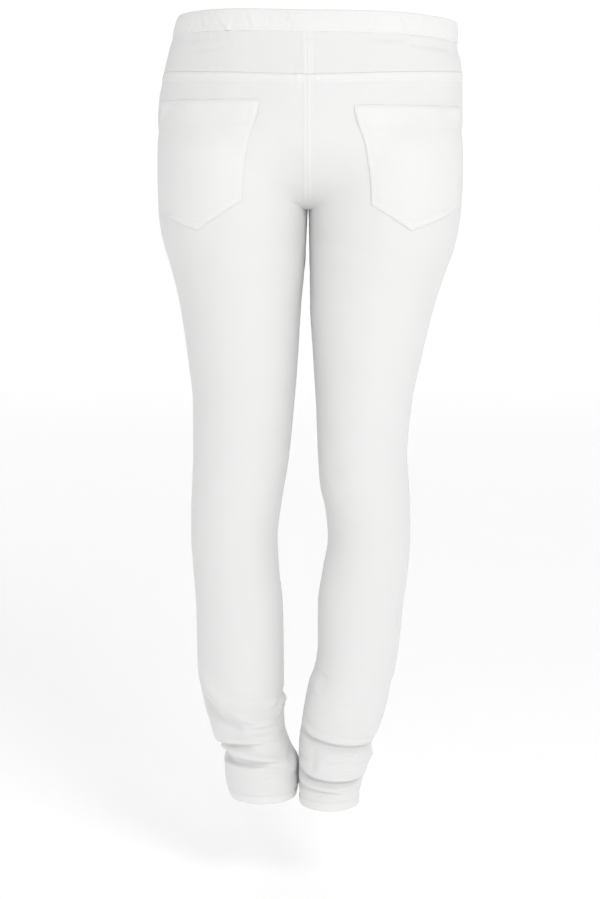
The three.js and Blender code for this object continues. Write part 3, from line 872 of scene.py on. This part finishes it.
def back_leg(side, sizes):
    band = spread((YOKE_SEAM - SEAM_GAP, YOKE_SEAM - 11, 15))
    heights = leg_heights(YOKE_SEAM - 11, side, band[:-1])

    def columns(line):
        seam = line.seam - SEAM_GAP / 2
        first = np.array([SEAM_GAP / 2, 0.5, 1, 1.6, 2.2, 2.8, 3.4, 4, 4.8, 5.6, 6.6, 9])
        last = seam - LAST_COLUMNS
        return columns_between(line, first, last, (-52, 20), (-8, 18), (32, 18), (70, 14))

    panel = Panel(side, heights, columns)
    z, first, last = panel.z, panel.to_first(), panel.to_last()
    sewn = ease((z - CROTCH_Z) / 25)
    under_yoke = YOKE_SEAM - z + 0 * first
    fell = sizes.fell * 1000
    yoke_band = fell * ease((FELL_YOKE + 1.4 - under_yoke) / 2.4)
    middle_band = fell * ease((FELL_LEG + 1.2 - first) / 2.4) * sewn
    rise = np.maximum(yoke_band, middle_band)
    rise = rise + (hand_folds(panel, side) + soft_life(panel, 11)) * sizes.folds
    rise = rise + rolled(under_yoke, 0.55, 1.3) + rolled(first) + rolled(last)
    for row in YOKE_STITCHES:
        rise = rise + stitch_groove(under_yoke - row)
    rise = rise + stitch_groove(first - LEG_STITCH) * sewn
    rise = rise + yoke_puckers(panel, under_yoke)
    rise = rise + puckers(z, first, 11, 23, 7, 0.32) + puckers(z, last, 13, 24, 6, 0.25)
    rise = rise + hem_rise(panel, side, 31)
    turnings = doubled(FELL_YOKE - under_yoke, HEM_Z[side] + 9 - z) + doubled(FELL_LEG - first) * sewn
    panel.piece("back_leg", rise, np.clip(turnings, 0, 1), sizes, HEM_TURN)


def yoke_puckers(panel, away):
    """The same along both edges of the yoke seam."""
    return puckers(panel.distance, away, 9, 21, 9, 0.3)


def front_leg(side, sizes):
    heights = leg_heights(BAND_SEAM + 4, side)

    def columns(line):
        seam = line.seam + SEAM_GAP / 2
        end = line.total - SEAM_GAP / 2
        first = seam + np.array([0, 0.4, 0.8, 1.4, 2.4, 3.6, 5, 7])
        return columns_between(line, first, end - LAST_COLUMNS, (140, 14), (180, 14), (215, 14))

    panel = Panel(side, heights, columns)
    z, first, last = panel.z, panel.to_first(), panel.to_last()
    rise = (hand_folds(panel, side) + soft_life(panel, 41)) * sizes.folds
    rise = rise + rolled(first) + rolled(last)
    rise = rise + puckers(z, first, 13, 24, 6, 0.25) + puckers(z, last, 12, 43, 7, 0.3)
    rise = rise + hem_rise(panel, side, 31)
    gathers = 0.5 * uneven(panel.distance, 17, 44) * np.exp(-np.maximum(BAND_SEAM - z, 0) / 14)
    rise = rise + gathers - TUCK * ease((z - BAND_SEAM) / 3)
    turning = doubled(HEM_Z[side] + 9 - z + 0 * first)
    panel.piece("front_leg", rise, turning, sizes, HEM_TURN)


def yoke(side, sizes):
    heights = spread((BAND_SEAM + 4, YOKE_SEAM + 3, 26), (YOKE_SEAM + 3, YOKE_SEAM + SEAM_GAP, 6))

    def columns(line):
        first = np.array([SEAM_GAP / 2, 0.5, 1, 1.8, 2.6, 3.4, 4.2, 5, 5.8, 6.6, 7.6, 11])
        last = line.seam - SEAM_GAP / 2 - LAST_COLUMNS
        return np.concatenate([first, np.linspace(first[-1], last[0], 92)[1:-1], last])

    panel = Panel(side, heights, columns)
    z, first, last = panel.z, panel.to_first(), panel.to_last()
    above = z - YOKE_SEAM + 0 * first
    rise = sizes.fell * 1000 * ease((FELL_MIDDLE + 1.2 - first) / 2.4)
    rise = rise + rolled(above) + rolled(first) + rolled(last) + stitch_groove(first - MIDDLE_STITCH)
    rise = rise + puckers(z, first, 11, 23, 7, 0.32) + puckers(z, last, 13, 24, 6, 0.25)
    gathers = uneven(panel.distance, 17, 51) * (0.6 + 0.4 * uneven(panel.distance, 90, 52))
    rise = rise + 0.5 * gathers * np.exp(-np.maximum(BAND_SEAM - z, 0) / 13)
    rise = rise + yoke_puckers(panel, above)
    for start, stop, height, slope, depth in YOKE_WRINKLES[side]:
        away = panel.points[..., 2] - height - slope * (panel.distance - start)
        on = ease((panel.distance - start) / 16) * ease((stop - panel.distance) / 16)
        rise = rise + depth * on * (0.55 * ridge(away - 5, 4) - ridge(away, 2.8) + 0.4 * ridge(away + 6, 4))
    rise = rise - TUCK * ease((z - BAND_SEAM) / 3)
    panel.piece("yoke", rise, doubled(FELL_MIDDLE - first), sizes)


def pocket_foot(side, across):
    inner, point, outer, share = POCKET_FOOT[side]
    return np.interp(across, [0, share, 1], [inner, point, outer])


def pocket_edge(side, line, name, z):
    """Distance of a pocket's inner or outer edge along a line."""
    return line.at_angle(float(POCKET_EDGES[side].read(name, z)))


def pocket(side, sizes):
    """A pointed patch pocket: its rows run down each column from the top edge to the foot."""
    surface = form(side)
    share = POCKET_FOOT[side][3]
    across = spread((0, 0.04, 5), (0.04, share, 20), (share, 0.96, 28), (0.96, 1, 5))
    down = spread((0, 0.03, 6), (0.03, 0.28, 16), (0.28, 0.94, 50), (0.94, 1, 9))
    foot = pocket_foot(side, across)
    heights = POCKET_TOP[side] + (foot[None, :] - POCKET_TOP[side]) * down[:, None]
    reading = {}
    points = np.empty((len(down), len(across), 3))
    normals = np.empty_like(points)
    distance = np.empty(points.shape[:2])
    for i in range(len(down)):
        for j, part in enumerate(across):
            z = heights[i, j]
            key = round(z * LINES_PER_MM)
            if key not in reading:
                reading[key] = surface.line(key / LINES_PER_MM)
            line = reading[key]
            first, last = (pocket_edge(side, line, name, z) for name in ("inner", "outer"))
            distance[i, j] = first + (last - first) * part
            place, normal = line.read(np.array([distance[i, j]]))
            points[i, j], normals[i, j] = place[0], normal[0]
            points[i, j, 2] += z - key / LINES_PER_MM
    top = POCKET_TOP[side] - heights
    first = distance - distance[:, :1]
    last = distance[:, -1:] - distance
    slope = np.gradient(foot, distance[-1])
    below = (heights - foot) / np.sqrt(1 + slope**2)
    edge = np.minimum(np.minimum(first, last), below)
    stand = POCKET_STAND + 0.4 * ease((POCKET_HEM - top) / 2)
    rise = stand - 0.75 * np.exp(-((np.maximum(edge, 0) / 1.6) ** 2)) - 1.5 * np.exp(-((top / 2) ** 2))
    for row in POCKET_STITCHES:
        rise = rise + stitch_groove(edge - row)
    rise = rise + stitch_groove(top - POCKET_HEM + POCKET_HEM_STITCH)
    along = np.where(first < last, heights, heights * 1.03)
    rise = rise + 0.22 * uneven(along + distance * 0.2, 10, 61) * np.exp(-np.maximum(edge - 2, 0) / 5)
    rise = rise + 0.35 * uneven(distance, 40, 62) * ease((40 - top) / 40)
    rise = np.maximum(rise, 0.35)
    cloth_uv = np.stack([distance, heights], -1)
    plies = 0.75 + 0.25 * doubled(9 - edge, POCKET_HEM - top)
    points = points + normals * rise[..., None]
    return sheet_mesh("pocket_" + side + "_cloth", points, cloth_uv, plies, SIDE_SIGN[side] < 0), points


def casing(which, sizes):
    """Half of the waist casing: a strip folded over at the top, gathered by the elastic inside it."""
    outer = [(-17, 0.1), (-16.5, 0.35), (-15.6, 0.6), (-14.2, 0.7), (-12.8, 1.05), (-10, 1.45), (-7, 1.65)]
    outer += [(-4, 1.7), (-1, 1.65), (2, 1.5), (4.5, 1.3), (6.2, 1.0), (7.2, 0.55), (7.8, -0.1)]
    inner = [(7.9, -0.8), (7.2, -1.35), (5.5, -1.6), (1, -1.65), (-6, -1.65), (-12, -1.6), (-16, -1.5)]
    strips = []
    for side in SIDES:
        surface = form(side)
        rows = []
        for z, stand in outer + inner:
            line = surface.line(z)
            span = (0, line.seam - 0.1) if which == "back" else (line.seam + 0.1, line.total)
            along = np.linspace(span[0], span[1], 150)
            place, normal = line.read(along)
            place[:, 0] = SIDE_SIGN[side] * np.maximum(0, place[:, 0] * SIDE_SIGN[side])
            signed = along * SIDE_SIGN[side]
            pull = uneven(signed + z * 0.5, 13, 71) * (0.6 + 0.4 * uneven(signed, 80, 72))
            pull = pull + 0.5 * uneven(signed - z * 0.9, 24, 73)
            hold = 0.45 + 0.3 * ease((-8 - z) / 8)
            rise = stand + 0.42 * pull * hold * (1 if stand > 0 else 0.5)
            if which == "back" and stand > -0.5:
                for middle, lean, depth in GATHERS[side]:
                    away = along - middle - lean * (z + 5)
                    crease = 0.6 * ridge(away - 4, 3.5) - ridge(away, 2.4) + 0.5 * ridge(away + 4, 3.5)
                    rise = rise + depth * crease * ease((12.5 - abs(z + 5)) / 6)
            rows.append(place + normal * rise[:, None])
        strips.append(np.array(rows))
    left, right = strips
    if which == "back":
        points = np.concatenate([right[:, :0:-1], left], axis=1)
    else:
        points = np.concatenate([left, right[:, -2::-1]], axis=1)
    cloth_uv = np.stack([lengths_along(points, 1), lengths_along(points, 0)], -1)[::-1]
    points = points[::-1]
    plies = np.ones(points.shape[:2])
    return sheet_mesh("waistband_" + which + "_cloth", points, cloth_uv, plies, False), points


def stitch_run(shape, places, normals, sizes, lead=1.2):
    """Lays separate stitches along a path on the cloth."""
    total = lengths_along(places, 0)
    pitch, length = sizes.pitch * 1000, sizes.stitch * 1000
    run = bmesh.new()
    for start in np.arange(lead, total[-1] - length - 0.5, pitch):
        a, b, middle = (
            Vector(np.interp(start + part * length, total, places[:, k]) for k in range(3))
            for part in (0, 1, 0.5)
        )
        normal = Vector(np.interp(start + length / 2, total, normals[:, k]) for k in range(3)).normalized()
        along = (b - a).normalized()
        side = normal.cross(along).normalized()
        normal = along.cross(side)
        thick = sizes.thread * 1000
        turn = Matrix((side * thick / 2, normal * thick * 0.42, along * length / 2)).transposed().to_4x4()
        matrix = Matrix.Translation((middle + normal * 0.12) * MM) @ Matrix.Scale(MM, 4) @ turn
        bmesh.ops.create_uvsphere(run, u_segments=6, v_segments=5, radius=1, matrix=matrix, calc_uvs=True)
    mesh = bpy.data.meshes.new("run")
    run.to_mesh(mesh)
    run.free()
    shape.from_mesh(mesh)
    bpy.data.meshes.remove(mesh)


def surface_of(piece_name):
    """The evaluated outer face of a made piece, for laying stitches on it."""
    return BVHTree.FromObject(bpy.data.objects[piece_name], bpy.context.evaluated_depsgraph_get())


def laid(tree, side, path):
    """Drops a path of (height, distance) on the form onto the cloth over it."""
    surface = form(side)
    places, normals = [], []
    for z, distance in path:
        line = surface.line(z)
        away = distance(line) if callable(distance) else distance
        place, normal = line.read(np.array([away]))
        start = Vector(place[0] + normal[0] * 8) * MM
        hit, face_normal, _, _ = tree.ray_cast(start, -Vector(normal[0]), 0.02)
        if hit is None:
            continue
        places.append(np.array(hit) / MM)
        normals.append(np.array(face_normal))
    return np.array(places), np.array(normals)


def sew(name, runs, sizes):
    """Joins the runs of one seam into one piece of thread."""
    shape = bmesh.new()
    shape.loops.layers.uv.new("UVMap")
    for places, normals in runs:
        if len(places) > 1:
            stitch_run(shape, places, normals, sizes)
    piece = placed(name, shape)
    piece.data.uv_layers[0].name = "cloth"
    piece.data.materials.append(finish_for("thread", sizes))
    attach(piece, "root")


class JeggingsSizes(bpy.types.PropertyGroup):
    """Sizes and colours of the jeggings that a user would change."""

    cloth: FloatProperty(name="Cloth", description="Thickness of the twill", default=0.0008, unit="LENGTH")
    fell: FloatProperty(name="Fell", description="Rise of a felled seam", default=0.0007, unit="LENGTH")
    folds: FloatProperty(name="Folds", description="Strength of soft folds", default=1.0, subtype="FACTOR")
    stitch: FloatProperty(name="Stitch", description="Length of one stitch", default=0.0024, unit="LENGTH")
    pitch: FloatProperty(name="Pitch", description="From stitch to stitch", default=0.0032, unit="LENGTH")
    thread: FloatProperty(name="Thread", description="Thickness of the thread", default=0.0006, unit="LENGTH")
    twill_colour: FloatVectorProperty(
        name="Twill", description="Colour of the cloth", default=(0.8, 0.8, 0.795), subtype="COLOR", size=3
    )
    thread_colour: FloatVectorProperty(
        name="Thread", description="Colour of the thread", default=(0.86, 0.86, 0.85), subtype="COLOR", size=3
    )
    floor_colour: FloatVectorProperty(
        name="Floor", description="Colour of the floor", default=(0.955,) * 3, subtype="COLOR", size=3
    )


class MakeLegs(bpy.types.Operator):
    """Back and front leg panels, from yoke or waist to the turned hem"""

    bl_idname = "jeggings.legs"
    bl_label = "Leg panels"

    def execute(self, context):
        for side in SIDES:
            back_leg(side, context.scene.jeggings)
            front_leg(side, context.scene.jeggings)
        return {"FINISHED"}


class MakeYokes(bpy.types.Operator):
    """Shaped back yokes between the waist casing and the felled seam"""

    bl_idname = "jeggings.yokes"
    bl_label = "Yokes"

    def execute(self, context):
        for side in SIDES:
            yoke(side, context.scene.jeggings)
        return {"FINISHED"}


class MakePockets(bpy.types.Operator):
    """Pointed patch pockets on the seat"""

    bl_idname = "jeggings.pockets"
    bl_label = "Pockets"

    def execute(self, context):
        sizes = context.scene.jeggings
        for side in SIDES:
            made, points = pocket(side, sizes)
            finish_cloth(made, points, sizes)
        return {"FINISHED"}


class MakeWaistband(bpy.types.Operator):
    """The elastic waist casing, back and front"""

    bl_idname = "jeggings.waistband"
    bl_label = "Waist casing"

    def execute(self, context):
        sizes = context.scene.jeggings
        for which in ("back", "front"):
            made, points = casing(which, sizes)
            finish_cloth(made, points, sizes, thickness=BAND_WALL)
        return {"FINISHED"}


class SewTopstitching(bpy.types.Operator):
    """Topstitching on the yoke seam, centre-back seam, pockets, casing and hems"""

    bl_idname = "jeggings.topstitching"
    bl_label = "Topstitching"

    def execute(self, context):
        sizes = context.scene.jeggings
        back, front = surface_of("waistband_back_cloth"), surface_of("waistband_front_cloth")
        band = []
        for side in SIDES:
            names = (part + "_" + side + "_cloth" for part in ("back_leg", "yoke", "front_leg", "pocket"))
            leg, upper, face, patch = (surface_of(name) for name in names)
            shares = np.linspace(0, 1, 90)

            def round_back(tree, z):
                return laid(tree, side, [(z, lambda line, s=s: 0.3 + (line.seam - 0.6) * s) for s in shares])

            def round_front(tree, z):
                ahead = lambda line, s: line.seam + 0.3 + (line.total - line.seam - 0.6) * s
                return laid(tree, side, [(z, lambda line, s=s: ahead(line, s)) for s in shares])

            band += [round_back(back, BAND_STITCH), round_front(front, BAND_STITCH)]
            seams = [round_back(leg, YOKE_SEAM - row) for row in YOKE_STITCHES]
            middle = np.linspace(BAND_SEAM - 1, YOKE_SEAM + 0.5, 30)
            seams.append(laid(upper, side, [(z, MIDDLE_STITCH) for z in middle]))
            middle = np.linspace(YOKE_SEAM - 9, CROTCH_Z + 8, 80)
            seams.append(laid(leg, side, [(z, LEG_STITCH) for z in middle]))
            sew("stitches_seams_" + side, seams, sizes)
            sew("stitches_pocket_" + side, pocket_runs(patch, side), sizes)
            hem = HEM_Z[side] + HEM_STITCH
            sew("stitches_hem_" + side, [round_back(leg, hem), round_front(face, hem)], sizes)
        sew("stitches_waistband", band, sizes)
        return {"FINISHED"}


def pocket_runs(tree, side):
    """Two rows round the sides and foot of a pocket, and one along its hem."""
    inner, _, outer, _ = POCKET_FOOT[side]
    top = POCKET_TOP[side]

    def between(z, share, inset=0.0):
        def place(line):
            first, last = (pocket_edge(side, line, name, z) for name in ("inner", "outer"))
            return np.clip(first + (last - first) * share, first + inset, last - inset)

        return place

    runs = []
    for inset in POCKET_STITCHES:
        path = [(z, between(z, 0, inset)) for z in np.linspace(top - 1, inner + inset * 0.45, 50)]
        for share in np.linspace(0.02, 0.98, 40):
            z = float(pocket_foot(side, share)) + inset * 1.12
            path.append((z, between(z, share, inset)))
        path += [(z, between(z, 1, inset)) for z in np.linspace(outer + inset * 0.45, top - 1, 50)]
        runs.append(laid(tree, side, path))
    hem = top - POCKET_HEM + POCKET_HEM_STITCH
    runs.append(laid(tree, side, [(hem, between(hem, share, 1)) for share in np.linspace(0, 1, 40)]))
    return runs


class SetStage(bpy.types.Operator):
    """Pale floor with walls that rise from it all round, soft studio light, and the camera"""

    bl_idname = "jeggings.stage"
    bl_label = "Stage"

    def execute(self, context):
        scene = context.scene
        scene.view_settings.view_transform = "Standard"
        floor_z, flat, corner = -1.02, 7.4, 1.6
        sweep = bmesh.new()
        profile = [Vector((0, 0, floor_z)), Vector((flat, 0, floor_z))]
        for k in range(1, 13):
            turn = math.radians(7.5 * k)
            out, up = corner * math.sin(turn), corner * (1 - math.cos(turn))
            profile.append(Vector((flat + out, 0, floor_z + up)))
        profile.append(Vector((flat + corner, 0, 7)))
        verts = [sweep.verts.new(place) for place in profile]
        edges = [sweep.edges.new(pair) for pair in zip(verts, verts[1:])]
        turned = {"axis": (0, 0, 1), "angle": math.tau, "steps": 96, "use_merge": True}
        bmesh.ops.spin(sweep, geom=verts + edges, **turned)
        bmesh.ops.remove_doubles(sweep, verts=sweep.verts, dist=1e-4)
        bmesh.ops.recalc_face_normals(sweep, faces=sweep.faces)
        sweep.normal_update()
        if min(sweep.faces, key=lambda face: face.calc_center_median().z).normal.z < 0:
            bmesh.ops.reverse_faces(sweep, faces=sweep.faces)
        floor = placed("sweep", sweep)
        finish = Finish("paper")
        soft = finish.noise(finish.add("ShaderNodeTexCoord").outputs["Object"], 3.0)
        colour = scene.jeggings.floor_colour
        base = finish.mix_colours(soft, tone(colour), tone(colour, 0.99))
        glow = {"Emission Color": (1, 1, 1, 1), "Emission Strength": 0.24}
        finish.settle({"Base Color": base, "Roughness": 0.95, **glow})
        floor.data.materials.append(finish.material)

        world = bpy.data.worlds.new("studio")
        scene.world = world
        world.use_nodes = True
        sky = world.node_tree.nodes["Background"].inputs
        sky["Color"].default_value = (1, 1, 1, 1)
        sky["Strength"].default_value = 0.505

        light = bpy.data.lights.new("key", "AREA")
        light.energy, light.shape, light.size = 21.6, "DISK", 0.9
        self.aimed("key", light, (-0.95, 2.35, 1.0), (0, 0, -0.42))
        camera = bpy.data.cameras.new("camera")
        camera.lens, camera.shift_y = 90.54, -0.05
        scene.camera = self.aimed("camera", camera, (-0.0254, 2.6475, -0.1924), (0.0095, 0, -0.4435))
        return {"FINISHED"}

    def aimed(self, name, data, place, aim):
        """Stands a lamp or the camera at a place, turned to what it is aimed at."""
        stand = bpy.data.objects.new(name, data)
        stand.location = place
        stand.rotation_euler = (Vector(aim) - Vector(place)).to_track_quat("-Z", "Y").to_euler()
        bpy.context.scene.collection.objects.link(stand)
        return stand


STEPS = (MakeLegs, MakeYokes, MakePockets, MakeWaistband, SewTopstitching, SetStage)


class VIEW3D_PT_jeggings(bpy.types.Panel):
    """Lists the sizes and the steps in the sidebar"""

    bl_label = "Jeggings"
    bl_idname = "VIEW3D_PT_jeggings"
    bl_space_type = "VIEW_3D"
    bl_region_type = "UI"
    bl_category = "Jeggings"

    def draw(self, context):
        for name in JeggingsSizes.__annotations__:
            self.layout.prop(context.scene.jeggings, name)
        for step in STEPS:
            self.layout.operator(step.bl_idname)


CLASSES = (JeggingsSizes, *STEPS, VIEW3D_PT_jeggings)


def register():
    for kind in CLASSES:
        bpy.utils.register_class(kind)
    bpy.types.Scene.jeggings = PointerProperty(type=JeggingsSizes)


def unregister():
    del bpy.types.Scene.jeggings
    for kind in reversed(CLASSES):
        bpy.utils.unregister_class(kind)


def main():
    register()
    bpy.ops.jeggings.legs()
    bpy.ops.jeggings.yokes()
    bpy.ops.jeggings.pockets()
    bpy.ops.jeggings.waistband()
    bpy.ops.jeggings.topstitching()
    bpy.ops.jeggings.stage()


if __name__ == "__main__":
    main()
